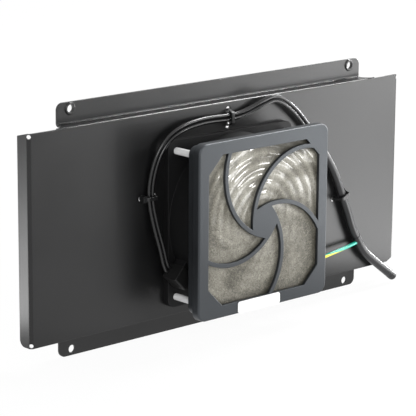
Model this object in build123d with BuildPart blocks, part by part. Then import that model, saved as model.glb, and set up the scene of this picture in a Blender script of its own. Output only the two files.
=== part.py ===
"""Rack fan tray: a folded steel panel that carries a mains axial fan behind a clip-on filter guard.

Millimetres, +Z up. The origin is the centre of the four mounting holes, on the plane of the lips
that lie against the rack. The fan stands out towards -Y. Places along that way are written as a
depth in front of the mounting plane, so a depth of 10 is y = -10.
"""

import os
from math import cos, radians, sin, sqrt, tan

from build123d import *

# Mounting panel, folded from one sheet
RACK_HEIGHT = 177.0
LIP_HEIGHT = 14.5
PANEL_HEIGHT = RACK_HEIGHT - 2 * LIP_HEIGHT
PANEL_WIDTH = 357.0
LIP_INSET = 32.5
LIP_WIDTH = PANEL_WIDTH - 2 * LIP_INSET
PAN_DEPTH = 12.0
SHEET = 1.5
BEND_RADIUS = 1.0
LIP_CORNER = 5.0
LIP_FLARE = 8.0
PLAIN_EDGE_DROP = 0.6
RELIEF_RADIUS = 1.5
RELIEF_INSET = 2.6
WALL_SLOPE = 2.5
WALL_CORNER = 5.0
CORNER_CUT_WIDTH = 7.0
CORNER_CUT_HEIGHT = 3.6
MOUNT_EDGE_X = 11.0
MOUNT_EDGE_Z = 4.5
MOUNT_SPACING_X = LIP_WIDTH - 2 * MOUNT_EDGE_X
MOUNT_SPACING_Z = RACK_HEIGHT - 2 * MOUNT_EDGE_Z
MOUNT_HOLE = 5.5
COLLAR_OUTER = 8.8
COLLAR_HEIGHT = 0.9
COLLAR_TAPER = 30.0
TIE_HOLE = 4.5
TIE_HOLE_SPACING = 11.5

# Axial fan
FAN_Z = -6.4
FAN_MARGIN = 14.0
FAN_SIZE = PANEL_HEIGHT - 2 * FAN_MARGIN
FAN_CORNER = 6.0
FAN_DEPTH = 25.4
FAN_FLANGE = 4.5
FAN_HOLE_EDGE = 7.5
FAN_PITCH = FAN_SIZE - 2 * FAN_HOLE_EDGE
BARREL_EDGE = 1.0
FAN_BARREL = FAN_SIZE - 2 * BARREL_EDGE
BARREL_WALL = 2.2
FAN_BORE = FAN_BARREL - 2 * BARREL_WALL
OPENING_MARGIN = 0.7
FAN_OPENING = FAN_BORE + 2 * OPENING_MARGIN
STRUT_COUNT = 4
STRUT_WIDTH = 6.0
STRUT_DEPTH = 3.4
STRUT_LEAN = 35.0
HUB_OUTER = 64.0
HUB_WALL = 2.0
MOTOR_BASE_DEPTH = 3.0
BEARING_TUBE = 13.0
BEARING_OUTER = 10.0
BEARING_WIDTH = 4.0
BEARING_GAP = 5.0
SHAFT = 4.0
SHAFT_END_GAP = 1.8
CLIP_OUTER = 7.0
CLIP_THICKNESS = 0.6
ROTOR_RING_WALL = 5.0
ROTOR_RING_RECESS = 2.2
ROTOR_RING_INNER = HUB_OUTER - 2 * HUB_WALL - 2 * ROTOR_RING_WALL
AIR_GAP = 0.8
STATOR_OUTER = ROTOR_RING_INNER - 2 * AIR_GAP
STATOR_HUB = 20.0
STATOR_START = 8.0
STATOR_FRONT_GAP = 3.8
POLE_COUNT = 4
POLE_WIDTH = 7.0
POLE_SHOE = 3.0
POLE_GAP = 6.0
COIL_WIDTH = 13.0
COIL_OVERHANG = 2.4
HUB_START = 6.0
HUB_FRONT_GAP = 1.2
HUB_BOSS = 9.0
HUB_EDGE = 2.0
BLADE_COUNT = 7
BLADE_THICKNESS = 1.6
BLADE_ROOT_CHORD = 17.0
BLADE_TIP_CHORD = 33.0
BLADE_ROOT_PITCH = 48.0
BLADE_TIP_PITCH = 27.0
BLADE_TIP_GAP = 1.5

# Fits
PRESS_CLEARANCE = 0.02
RUNNING_CLEARANCE = 0.04
AXIAL_CLEARANCE = 0.3
SEAT_GAP = 0.3

# Filter guard
BASE_INSET = 0.2
BASE_SIZE = FAN_SIZE - 2 * BASE_INSET
BASE_CORNER = 6.0
BASE_WALL = 2.0
BASE_FLOOR = 2.4
BASE_LEDGE = 4.8
BASE_OPENING = BASE_SIZE - 2 * BASE_LEDGE
GRILLE_EDGE = 11.0
GRILLE_PITCH = 12.0
GRILLE_RIB = 2.0
GRILLE_SPOKES = 8
GRILLE_HUB = 9.0
BOSS_OUTER = 10.0
BOSS_HEIGHT = 4.0
SNAP_LENGTH = 12.0
SNAP_SPACING = 28.0
SNAP_HEIGHT = 0.5
SNAP_RISE = 1.6
COVER_WALL = 2.0
COVER_FIT = 1.0
COVER_SIZE = BASE_SIZE + 2 * (COVER_FIT + COVER_WALL)
COVER_CORNER = 7.0
COVER_FACE = 2.2
COVER_SIDE = 6.5
COVER_EDGE = 1.2
GUARD_DEPTH = 14.0
COVER_BORDER = 9.05
WINDOW = COVER_SIZE - 2 * COVER_BORDER
WINDOW_CHAMFER = 13.0
ARM_COUNT = 5
ARM_RADIUS = 50.0
ARM_HUB = 11.7
ARM_OFFSET = ARM_RADIUS - ARM_HUB
ARM_WIDTH = 3.0
ARM_START_ANGLE = 72.5
LABEL_WIDTH = 41.0
LABEL_HEIGHT = 8.4
LABEL_THICKNESS = 0.5
LABEL_CORNER = 1.8
LABEL_X = -4.9
LABEL_FOOT = 0.2
PAD_CLEARANCE = 0.4

# Fasteners through fan, guard and panel
SCREW = 3.5
SCREW_HOLE = 3.8
SCREW_HEAD = 7.0
SCREW_HEAD_HEIGHT = 2.6
SCREW_TAIL = 1.2
SPACER_OUTER = 5.0
NUT_ACROSS_FLATS = 7.0
NUT_HEIGHT = 3.2
WASHER_OUTER = 7.6
WASHER_THICKNESS = 0.9
WIRE = 2.0
WIRE_WELD = 0.3
FINGER_EDGE = 5.5
FINGER_PITCH = 12.0
FINGER_STAND_OFF = 3.5
FINGER_RAMP = 12.0

# Wiring
LEAD = 2.8
LEAD_PITCH = 3.2
SLEEVE = 6.4
BOOT = 7.2
BOOT_LENGTH = 7.0
SUPPLY_CORD = 6.8
CAP = 7.0
CAP_LENGTH = 6.2
EARTH_RING = 8.0
EARTH_RING_THICKNESS = 0.8
CRIMP = 3.6
CRIMP_LENGTH = 7.0
TERMINAL_WIDTH = 2.8
TERMINAL_THICKNESS = 0.6
TERMINAL_SPACING = 6.4
TERMINAL_ENTRY = 6.0
TERMINAL_ROOT = 2.0
TERMINAL_BLOCK_WIDTH = 11.0
TERMINAL_BLOCK_DEPTH = 10.0
PLUG_LENGTH = 13.5
PLUG_WIDTH = 11.6
PLUG_DEPTH = 14.0
PLUG_EDGE = 1.2
PLUG_TURN = 43.2
TIE_STRAP = 2.5
TIE_THICKNESS = 1.0
TIE_HEAD = 4.6
TIE_HEAD_HEIGHT = 3.6
TIE_CLEARANCE = 0.3

# Depths in front of the mounting plane that the pieces share
PANEL_FRONT = PAN_DEPTH
PANEL_BACK = PANEL_FRONT - SHEET
FLANGE_FRONT = PANEL_FRONT + FAN_FLANGE
FAN_FRONT = PANEL_FRONT + FAN_DEPTH
GUARD_FRONT = FAN_FRONT + GUARD_DEPTH
COVER_INSIDE = GUARD_FRONT - COVER_FACE
BASE_RIM = COVER_INSIDE - SEAT_GAP
BOSS_TOP = FAN_FRONT + BOSS_HEIGHT
EYELET_BACK = PANEL_BACK - WIRE
WASHER_BACK = EYELET_BACK - WASHER_THICKNESS
NUT_BACK = WASHER_BACK - NUT_HEIGHT
SCREW_POINT = NUT_BACK - SCREW_TAIL
SHAFT_REAR = PANEL_FRONT + SHAFT_END_GAP
CLIP_REAR = SHAFT_REAR + AXIAL_CLEARANCE
REAR_BEARING = CLIP_REAR + CLIP_THICKNESS + AXIAL_CLEARANCE
FRONT_BEARING = REAR_BEARING + BEARING_WIDTH + BEARING_GAP
TUBE_FRONT = FRONT_BEARING + BEARING_WIDTH
HUB_REAR = PANEL_FRONT + HUB_START
HUB_FRONT = FAN_FRONT - HUB_FRONT_GAP
HUB_INSIDE = HUB_FRONT - HUB_WALL
STATOR_REAR = PANEL_FRONT + STATOR_START
STATOR_FRONT = HUB_INSIDE - STATOR_FRONT_GAP - COIL_OVERHANG
STATOR_HEIGHT = STATOR_FRONT - STATOR_REAR
ROTOR_RING_REAR = HUB_REAR + ROTOR_RING_RECESS
BLADE_MIDDLE = (HUB_REAR + HUB_FRONT) / 2
CORNER_REACH = FAN_PITCH / 2 * sqrt(2)

# Wiring routes, chosen by hand round the fan: x, height above the panel, z along each line
SIDE = FAN_SIZE / 2
TOP = FAN_Z + SIDE
FOOT = FAN_Z - SIDE
LEAD_ENTRY = FAN_FLANGE + SEAT_GAP + PLUG_EDGE + LEAD / 2
EARTH_HEIGHT = FAN_FLANGE + CRIMP / 2
LEAD_ROUTE = [
    (-SIDE - 2.0, LEAD_ENTRY, FOOT + 28.9),
    (-SIDE - 4.92, LEAD_ENTRY, FOOT + 31.64),
    (-SIDE - 7.5, 6.4, FAN_Z - 15.1),
    (-SIDE - 12.2, 4.8, FAN_Z + 1.8),
    (-SIDE - 15.3, 2.4, FAN_Z + 21.9),
    (-SIDE - 13.4, 3.0, TOP - 20.6),
    (-SIDE - 7.2, 5.2, TOP - 3.4),
    (-SIDE + 6.5, 6.0, TOP + 7.4),
    (-27.0, 3.8, TOP + 10.7),
    (0.8, 2.4, TOP + 8.9),
    (16.5, 3.0, TOP + 11.3),
    (SIDE - 27.0, 4.4, TOP + 17.1),
    (SIDE - 16.5, 5.1, TOP + 19.0),
    (SIDE - 3.5, 5.2, TOP + 12.0),
    (SIDE + 12.5, 4.0, TOP - 1.4),
    (SIDE + 25.0, 4.0, TOP - 16.7),
]
SLEEVE_ROUTE = [
    LEAD_ROUTE[-1],
    (SIDE + 32.0, 4.0, TOP - 25.27),
    (SIDE + 42.9, 4.0, FAN_Z + 20.0),
    (SIDE + 50.0, 4.0, FAN_Z + 7.2),
    (SIDE + 55.4, 4.0, FAN_Z - 5.2),
    (SIDE + 61.6, 4.0, FAN_Z - 18.2),
    (SIDE + 66.6, 4.0, FAN_Z - 31.8),
    (SIDE + 71.2, 4.3, FAN_Z - 39.2),
]
CORD_ROUTE = [
    (SIDE + 74.9, 4.5, FOOT + 14.9),
    (SIDE + 79.1, 4.8, FOOT + 8.1),
    (SIDE + 90.4, 5.8, FOOT - 1.3),
    (SIDE + 108.5, 6.2, FOOT - 14.8),
]
EARTH_ROUTE = [
    (SIDE + 4.0, EARTH_HEIGHT, FOOT + FAN_HOLE_EDGE),
    (SIDE + 15.0, EARTH_HEIGHT, FOOT + FAN_HOLE_EDGE),
    (SIDE + 30.0, 7.6, FOOT + 11.4),
    (SIDE + 46.0, 7.4, FOOT + 13.4),
    (SIDE + 60.0, 6.4, FOOT + 14.8),
    (SIDE + 73.0, 4.9, FOOT + 16.3),
]

# Cable ties: place on the route, way of the bundle, its height above the panel and its thickness
TIES = {
    "left_tie": (LEAD_ROUTE[4], (0.0, 1.0), 3.4, LEAD),
    "top_tie": (LEAD_ROUTE[9], (1.0, 0.0), 2.8, LEAD),
    "right_tie": (SLEEVE_ROUTE[4], (0.415, -0.91), 4.2, SLEEVE),
}
HEADS_IN_FRONT = ("left_tie",)


def front_plane(x=0.0, depth=0.0, z=0.0):
    """Plane parallel to the panel that faces the viewer, with local y up."""
    return Plane(origin=(x, -depth, z), x_dir=(1, 0, 0), z_dir=(0, -1, 0))


def fan_plane(depth):
    """Plane square to the fan's axis at a depth."""
    return front_plane(0.0, depth, FAN_Z)


def to_points(route):
    """Row coordinates of a route given as x, height above the panel, z."""
    return [Vector(x, -PANEL_FRONT - height, z) for x, height, z in route]


def ring_radii(outermost, pitch, smallest):
    """Radii of evenly spaced rings from the outermost inwards."""
    count = int((outermost - smallest) / pitch) + 1
    return [outermost - pitch * i for i in range(count)]


def bend_radii(points):
    """Largest even bend at each corner of a route."""
    radii = []
    for before, corner, after in zip(points, points[1:], points[2:]):
        run_in = corner - before
        run_out = after - corner
        half_turn = radians(run_in.get_angle(run_out)) / 2
        radii.append(0.45 * min(run_in.length, run_out.length) / tan(half_turn))
    return radii


def beside(points, distance):
    """The same route moved sideways across the panel, as one lead of a pair lies."""
    moved = []
    last = len(points) - 1
    for i, point in enumerate(points):
        before = points[max(i - 1, 0)]
        after = points[min(i + 1, last)]
        run_in = (point - before) if i else (after - point)
        run_out = (after - point) if i < last else run_in
        flat_in = Vector(run_in.X, 0, run_in.Z).normalized()
        flat_out = Vector(run_out.X, 0, run_out.Z).normalized()
        middle = (flat_in + flat_out).normalized()
        reach = distance / middle.dot(flat_in)
        moved.append(point + Vector(-middle.Z, 0, middle.X) * reach)
    return moved


def cord(points, diameter):
    """Round cord of straight runs and tangent arcs."""
    radii = bend_radii(points)
    with BuildPart() as tube:
        with BuildLine() as path:
            FilletPolyline(*points, radius=radii)
        with BuildSketch(Plane(origin=path.line @ 0, z_dir=path.line % 0)):
            Circle(diameter / 2)
        sweep()
    print(f"cord {diameter} mm: length {path.wire().length:.1f}, smallest bend {min(radii):.1f}")
    return tube


def rod(start, end, diameter):
    """Plain round rod between two points."""
    with BuildPart() as bar:
        with BuildSketch(Plane(origin=start, z_dir=end - start)):
            Circle(diameter / 2)
        extrude(amount=(end - start).length)
    return bar


def save(builder, name):
    """Label one finished piece and write it."""
    builder.part.label = name
    export_step(builder.part, f"parts/{name}.step")


os.makedirs("parts", exist_ok=True)

# Mounting panel
sheet_middle = SHEET / 2
fold_middle = BEND_RADIUS + sheet_middle
fold_outer = BEND_RADIUS + SHEET
plate_middle = PANEL_FRONT - sheet_middle
side_x = PANEL_WIDTH / 2 - sheet_middle
wall_z = PANEL_HEIGHT / 2 - sheet_middle
lip_z = RACK_HEIGHT / 2
plain_half = PANEL_HEIGHT / 2 - PLAIN_EDGE_DROP

with BuildPart() as mounting_panel:
    # Plate with its two side walls
    with BuildSketch(Plane.XY):
        with BuildLine():
            FilletPolyline(
                (-side_x, 0),
                (-side_x, -plate_middle),
                (side_x, -plate_middle),
                (side_x, 0),
                radius=fold_middle,
            )
        trace(line_width=SHEET)
    extrude(amount=plain_half, both=True)
    # Walls round off at the lower rear corner and slope down to the rack at the top
    wall_feet = mounting_panel.edges().filter_by(Axis.X).group_by(Axis.Y)[-1].group_by(Axis.Z)[0]
    fillet(wall_feet, WALL_CORNER)
    with BuildSketch(Plane.YZ):
        Polygon(
            (fold_outer - PANEL_FRONT, plain_half),
            (0, plain_half),
            (0, plain_half - WALL_SLOPE),
            align=None,
        )
    extrude(amount=PANEL_WIDTH / 2, both=True, mode=Mode.SUBTRACT)
    # Returns at top and bottom with the lips that bolt to the rack
    with BuildSketch(Plane.YZ):
        with BuildLine():
            FilletPolyline(
                (-sheet_middle, lip_z),
                (-sheet_middle, wall_z),
                (-plate_middle, wall_z),
                (-plate_middle, -wall_z),
                (-sheet_middle, -wall_z),
                (-sheet_middle, -lip_z),
                radius=fold_middle,
            )
        trace(line_width=SHEET)
    extrude(amount=LIP_WIDTH / 2, both=True)
    lip_ends = mounting_panel.edges().filter_by(Axis.Y).group_by(Axis.Z)
    fillet(lip_ends[0] + lip_ends[-1], LIP_CORNER)
    # Curved roots where the returns run out into the plain edge
    for level in (PANEL_HEIGHT / 2 - SHEET, -PANEL_HEIGHT / 2):
        with BuildSketch(Plane.XY.offset(level)):
            with BuildLine():
                root = (LIP_WIDTH / 2, -PANEL_BACK)
                outer = (LIP_WIDTH / 2 + LIP_FLARE, -PANEL_BACK)
                rear = (LIP_WIDTH / 2, LIP_FLARE - PANEL_BACK)
                Line(root, outer)
                RadiusArc(outer, rear, LIP_FLARE)
                Line(rear, root)
            make_face()
            mirror(about=Plane.YZ)
        extrude(amount=SHEET)
    # Small round reliefs at the ends of the side bends
    for side in (-1, 1):
        bend_plane = Plane(
            origin=(side * (PANEL_WIDTH / 2 - fold_outer), fold_outer - PANEL_FRONT, 0),
            x_dir=(0, 0, 1),
            z_dir=(side, -1, 0),
        )
        with BuildSketch(bend_plane):
            with GridLocations(PANEL_HEIGHT - 2 * RELIEF_INSET, 0, 2, 1):
                Circle(RELIEF_RADIUS)
        extrude(amount=2 * fold_outer, mode=Mode.SUBTRACT)
    # Lower right corner is cut away
    with BuildSketch(front_plane(PANEL_WIDTH / 2, 0.0, -plain_half)):
        Polygon((0, 0), (-CORNER_CUT_WIDTH, 0), (0, CORNER_CUT_HEIGHT), align=None)
    extrude(amount=PANEL_FRONT, mode=Mode.SUBTRACT)
    # Air opening and the four fan screws
    with BuildSketch(fan_plane(PANEL_BACK)):
        Circle(FAN_OPENING / 2)
        with GridLocations(FAN_PITCH, FAN_PITCH, 2, 2):
            Circle(SCREW_HOLE / 2)
    extrude(amount=SHEET, mode=Mode.SUBTRACT)
    # Holes in pairs for the cable ties
    with BuildSketch(front_plane(0.0, PANEL_BACK)):
        for (x, _, z), (along_x, along_z), _, _ in TIES.values():
            for side in (-TIE_HOLE_SPACING / 2, TIE_HOLE_SPACING / 2):
                with Locations((x - side * along_z, z + side * along_x)):
                    Circle(TIE_HOLE / 2)
    extrude(amount=SHEET, mode=Mode.SUBTRACT)
    # Rack holes, the upper pair through raised collars
    with BuildSketch(front_plane(0.0, SHEET, MOUNT_SPACING_Z / 2)):
        with GridLocations(MOUNT_SPACING_X, 0, 2, 1):
            Circle(COLLAR_OUTER / 2)
    extrude(amount=COLLAR_HEIGHT, taper=COLLAR_TAPER)
    with BuildSketch(front_plane()):
        with GridLocations(MOUNT_SPACING_X, MOUNT_SPACING_Z, 2, 2):
            Circle(MOUNT_HOLE / 2)
    extrude(amount=SHEET + COLLAR_HEIGHT, mode=Mode.SUBTRACT)
save(mounting_panel, "mounting_panel")

# Fan frame: rear flange, barrel, struts, motor base and bearing tube in one casting
lead_points = to_points(LEAD_ROUTE)
plug_middle = FLANGE_FRONT + SEAT_GAP + PLUG_DEPTH / 2
plug_top = Vector(lead_points[0].X, -plug_middle, lead_points[0].Z)
plug_down = Vector(cos(radians(PLUG_TURN)), 0, -sin(radians(PLUG_TURN)))
plug_inward = Vector(0, -1, 0).cross(plug_down)
terminal_root = plug_top + plug_down * (PLUG_LENGTH / 2) + plug_inward * (PLUG_WIDTH / 2)
terminal_plane = Plane(origin=terminal_root, x_dir=plug_down, z_dir=plug_inward)
strut_angles = [STRUT_LEAN + 360 / STRUT_COUNT * i for i in range(STRUT_COUNT)]

with BuildPart() as fan_frame:
    with BuildSketch(fan_plane(PANEL_FRONT)):
        RectangleRounded(FAN_SIZE, FAN_SIZE, FAN_CORNER)
        with GridLocations(FAN_PITCH, FAN_PITCH, 2, 2):
            Circle(SCREW_HOLE / 2, mode=Mode.SUBTRACT)
    extrude(amount=FAN_FLANGE)
    with BuildSketch(fan_plane(PANEL_FRONT)):
        Circle(FAN_BARREL / 2)
    extrude(amount=FAN_DEPTH)
    # Terminal block that carries the two blades
    with BuildSketch(terminal_plane.offset(SEAT_GAP)):
        Rectangle(TERMINAL_BLOCK_WIDTH, TERMINAL_BLOCK_DEPTH)
    extrude(amount=SIDE)
    with BuildSketch(fan_plane(PANEL_FRONT)):
        Circle(FAN_BORE / 2)
    extrude(amount=FAN_DEPTH, mode=Mode.SUBTRACT)
    # Motor base on its leaning struts
    with BuildSketch(fan_plane(PANEL_FRONT)):
        for angle in strut_angles:
            with Locations((HUB_OUTER / 2 * cos(radians(angle)), HUB_OUTER / 2 * sin(radians(angle)))):
                Rectangle(
                    FAN_BORE,
                    STRUT_WIDTH,
                    rotation=angle + STRUT_LEAN,
                    align=(Align.MIN, Align.CENTER),
                )
        Circle((FAN_BORE + FAN_BARREL) / 4, mode=Mode.INTERSECT)
    extrude(amount=STRUT_DEPTH)
    with BuildSketch(fan_plane(PANEL_FRONT)):
        Circle(HUB_OUTER / 2)
    extrude(amount=MOTOR_BASE_DEPTH)
    with BuildSketch(fan_plane(PANEL_FRONT)):
        Circle(BEARING_TUBE / 2)
    extrude(amount=TUBE_FRONT - PANEL_FRONT)
    with BuildSketch(fan_plane(SHAFT_REAR - AXIAL_CLEARANCE)):
        Circle(BEARING_OUTER / 2 + PRESS_CLEARANCE)
    extrude(amount=FAN_DEPTH, mode=Mode.SUBTRACT)
    # Slots for the two blades
    with BuildSketch(terminal_plane.offset(SEAT_GAP)):
        with GridLocations(TERMINAL_SPACING, 0, 2, 1):
            Rectangle(TERMINAL_THICKNESS + PRESS_CLEARANCE, TERMINAL_WIDTH + PRESS_CLEARANCE)
    extrude(amount=TERMINAL_ROOT, mode=Mode.SUBTRACT)
save(fan_frame, "fan_frame")

with BuildPart() as fan_terminals:
    with BuildSketch(terminal_plane.offset(SEAT_GAP - TERMINAL_ENTRY)):
        with GridLocations(TERMINAL_SPACING, 0, 2, 1):
            Rectangle(TERMINAL_THICKNESS, TERMINAL_WIDTH)
    extrude(amount=TERMINAL_ENTRY + TERMINAL_ROOT)
save(fan_terminals, "fan_terminals")

# Motor inside the hub
for name, start in (("rear_bearing", REAR_BEARING), ("front_bearing", FRONT_BEARING)):
    with BuildPart() as bearing:
        with BuildSketch(fan_plane(start)):
            Circle(BEARING_OUTER / 2)
            Circle(SHAFT / 2 + RUNNING_CLEARANCE, mode=Mode.SUBTRACT)
        extrude(amount=BEARING_WIDTH)
    save(bearing, name)

with BuildPart() as stator_core:
    with BuildSketch(fan_plane(STATOR_REAR)):
        Circle(STATOR_OUTER / 2)
        Circle(STATOR_OUTER / 2 - POLE_SHOE, mode=Mode.SUBTRACT)
        for i in range(POLE_COUNT):
            Rectangle(
                STATOR_OUTER,
                POLE_GAP,
                rotation=180 / POLE_COUNT + 360 / POLE_COUNT * i,
                align=(Align.MIN, Align.CENTER),
                mode=Mode.SUBTRACT,
            )
        with PolarLocations(0, POLE_COUNT):
            Rectangle(STATOR_OUTER / 2 - POLE_SHOE / 2, POLE_WIDTH, align=(Align.MIN, Align.CENTER))
        Circle(STATOR_HUB / 2)
        Circle(BEARING_TUBE / 2 + PRESS_CLEARANCE, mode=Mode.SUBTRACT)
    extrude(amount=STATOR_HEIGHT)
save(stator_core, "stator_core")

coil_inner = STATOR_HUB / 2 + SEAT_GAP
shoe_inner = STATOR_OUTER / 2 - POLE_SHOE
coil_outer = sqrt(shoe_inner**2 - (COIL_WIDTH / 2) ** 2) - SEAT_GAP
with BuildPart() as stator_coils:
    for i in range(POLE_COUNT):
        angle = radians(360 / POLE_COUNT * i)
        outward = Vector(cos(angle), 0, sin(angle))
        middle = Vector(0, -(STATOR_REAR + STATOR_FRONT) / 2, FAN_Z)
        with BuildSketch(Plane(origin=middle + outward * coil_inner, x_dir=(0, -1, 0), z_dir=outward)):
            RectangleRounded(STATOR_HEIGHT + 2 * COIL_OVERHANG, COIL_WIDTH, COIL_OVERHANG)
            Rectangle(STATOR_HEIGHT + 2 * SEAT_GAP, POLE_WIDTH + 2 * SEAT_GAP, mode=Mode.SUBTRACT)
        extrude(amount=coil_outer - coil_inner)
save(stator_coils, "stator_coils")

# Rotor
with BuildPart() as shaft:
    with BuildSketch(fan_plane(SHAFT_REAR)):
        Circle(SHAFT / 2)
    extrude(amount=HUB_INSIDE - SHAFT_REAR)
save(shaft, "shaft")

with BuildPart() as shaft_clip:
    with BuildSketch(fan_plane(CLIP_REAR)):
        Circle(CLIP_OUTER / 2)
        Circle(SHAFT / 2 + PRESS_CLEARANCE, mode=Mode.SUBTRACT)
    extrude(amount=CLIP_THICKNESS)
save(shaft_clip, "shaft_clip")

rotor_ring_outer = HUB_OUTER - 2 * HUB_WALL - 2 * PRESS_CLEARANCE
with BuildPart() as rotor_ring:
    with BuildSketch(fan_plane(ROTOR_RING_REAR)):
        Circle(rotor_ring_outer / 2)
        Circle(ROTOR_RING_INNER / 2, mode=Mode.SUBTRACT)
    extrude(amount=HUB_INSIDE - ROTOR_RING_REAR)
save(rotor_ring, "rotor_ring")

blade_root_radius = HUB_OUTER / 2 - HUB_WALL / 2
blade_tip_radius = FAN_BORE / 2 - BLADE_TIP_GAP
with BuildPart() as impeller:
    for i in range(BLADE_COUNT):
        angle = radians(360 / BLADE_COUNT * i)
        outward = Vector(cos(angle), 0, sin(angle))
        across = Vector(-sin(angle), 0, cos(angle))
        middle = Vector(0, -BLADE_MIDDLE, FAN_Z)
        blade_ends = (
            (blade_root_radius, BLADE_ROOT_CHORD, BLADE_ROOT_PITCH),
            (FAN_BARREL / 2, BLADE_TIP_CHORD, BLADE_TIP_PITCH),
        )
        for radius, chord, pitch in blade_ends:
            with BuildSketch(Plane(origin=middle + outward * radius, x_dir=across, z_dir=outward)):
                Rectangle(chord, BLADE_THICKNESS, rotation=pitch)
        loft()
    with BuildSketch(fan_plane(HUB_REAR)):
        Circle(blade_tip_radius)
    extrude(amount=HUB_FRONT - HUB_REAR, mode=Mode.INTERSECT)
    with BuildSketch(fan_plane(HUB_REAR)):
        Circle(HUB_OUTER / 2)
    extrude(amount=HUB_FRONT - HUB_REAR)
    nose = impeller.faces().sort_by(Axis.Y)[0].outer_wire().edges()
    fillet(nose, HUB_EDGE)
    with BuildSketch(fan_plane(HUB_REAR)):
        Circle(HUB_OUTER / 2 - HUB_WALL)
    extrude(amount=HUB_INSIDE - HUB_REAR, mode=Mode.SUBTRACT)
    boss_rear = TUBE_FRONT + AXIAL_CLEARANCE
    with BuildSketch(fan_plane(boss_rear)):
        Circle(HUB_BOSS / 2)
        Circle(SHAFT / 2 + PRESS_CLEARANCE, mode=Mode.SUBTRACT)
    extrude(amount=HUB_INSIDE - boss_rear)
save(impeller, "impeller")

# Filter guard base: a shallow dish with a ring grille, screwed over the fan
with BuildPart() as guard_base:
    with BuildSketch(fan_plane(FAN_FRONT)):
        RectangleRounded(BASE_SIZE, BASE_SIZE, BASE_CORNER)
        Circle(BASE_OPENING / 2, mode=Mode.SUBTRACT)
    extrude(amount=BASE_FLOOR)
    with BuildSketch(fan_plane(FAN_FRONT)):
        for radius in ring_radii(BASE_OPENING / 2 - GRILLE_EDGE, GRILLE_PITCH, GRILLE_HUB):
            Circle(radius + GRILLE_RIB / 2)
            Circle(radius - GRILLE_RIB / 2, mode=Mode.SUBTRACT)
        with PolarLocations(0, GRILLE_SPOKES):
            Rectangle(BASE_OPENING / 2 + GRILLE_RIB / 2, GRILLE_RIB, align=(Align.MIN, Align.CENTER))
        Circle(GRILLE_HUB)
    extrude(amount=BASE_FLOOR)
    with BuildSketch(fan_plane(FAN_FRONT)):
        RectangleRounded(BASE_SIZE, BASE_SIZE, BASE_CORNER)
        RectangleRounded(
            BASE_SIZE - 2 * BASE_WALL, BASE_SIZE - 2 * BASE_WALL, BASE_CORNER - BASE_WALL, mode=Mode.SUBTRACT
        )
    extrude(amount=BASE_RIM - FAN_FRONT)
    with BuildSketch(fan_plane(FAN_FRONT)):
        with GridLocations(FAN_PITCH, FAN_PITCH, 2, 2):
            Circle(BOSS_OUTER / 2)
    extrude(amount=BOSS_HEIGHT)
    with BuildSketch(fan_plane(FAN_FRONT)):
        with GridLocations(FAN_PITCH, FAN_PITCH, 2, 2):
            Circle(SCREW_HOLE / 2)
    extrude(amount=BOSS_HEIGHT, mode=Mode.SUBTRACT)
    # Snap ridges in pairs along each side, just behind the cover's wall
    with BuildSketch(fan_plane(GUARD_FRONT - COVER_SIDE - SEAT_GAP - SNAP_RISE)):
        with PolarLocations(BASE_SIZE / 2, 4):
            with GridLocations(0, SNAP_SPACING, 1, 2):
                Rectangle(2 * SNAP_HEIGHT, SNAP_LENGTH)
    extrude(amount=SNAP_RISE)
save(guard_base, "guard_base")

# Clip-on cover with five spiral arms
arm_angles = [radians(ARM_START_ANGLE - 360 / ARM_COUNT * i) for i in range(ARM_COUNT)]
arm_centres = [(ARM_OFFSET * cos(angle), ARM_OFFSET * sin(angle)) for angle in arm_angles]
cover_inner = COVER_SIZE - 2 * COVER_WALL
with BuildPart() as filter_retainer:
    with BuildSketch(fan_plane(GUARD_FRONT - COVER_SIDE)):
        RectangleRounded(COVER_SIZE, COVER_SIZE, COVER_CORNER)
    extrude(amount=COVER_SIDE)
    fillet(filter_retainer.faces().sort_by(Axis.Y)[0].edges(), COVER_EDGE)
    with BuildSketch(fan_plane(GUARD_FRONT - COVER_SIDE)):
        RectangleRounded(cover_inner, cover_inner, COVER_CORNER - COVER_WALL)
    extrude(amount=COVER_SIDE - COVER_FACE, mode=Mode.SUBTRACT)
    for i in range(ARM_COUNT):
        with BuildSketch(fan_plane(COVER_INSIDE)) as opening:
            Rectangle(WINDOW, WINDOW)
            chamfer(opening.vertices(), WINDOW_CHAMFER)
            with Locations(arm_centres[i - 1]):
                Circle(ARM_RADIUS - ARM_WIDTH, mode=Mode.INTERSECT)
            with Locations(arm_centres[i]):
                Circle(ARM_RADIUS, mode=Mode.SUBTRACT)
        extrude(amount=COVER_FACE, mode=Mode.SUBTRACT)
save(filter_retainer, "filter_retainer")

label_z = -COVER_SIZE / 2 + LABEL_FOOT + LABEL_HEIGHT / 2
with BuildPart() as label_plate:
    with BuildSketch(fan_plane(GUARD_FRONT)):
        with Locations((LABEL_X, label_z)):
            RectangleRounded(LABEL_WIDTH, LABEL_HEIGHT, LABEL_CORNER)
    extrude(amount=LABEL_THICKNESS)
save(label_plate, "label_plate")

pad_size = BASE_SIZE - 2 * BASE_WALL - 2 * PAD_CLEARANCE
pad_corner = pad_size - FAN_PITCH + sqrt(2) * (BOSS_OUTER / 2 + PAD_CLEARANCE)
pad_back = FAN_FRONT + BASE_FLOOR + SEAT_GAP
with BuildPart() as filter_pad:
    with BuildSketch(fan_plane(pad_back)) as pad_outline:
        Rectangle(pad_size, pad_size)
        chamfer(pad_outline.vertices(), pad_corner)
    extrude(amount=COVER_INSIDE - pad_back)
save(filter_pad, "filter_pad")

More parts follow.
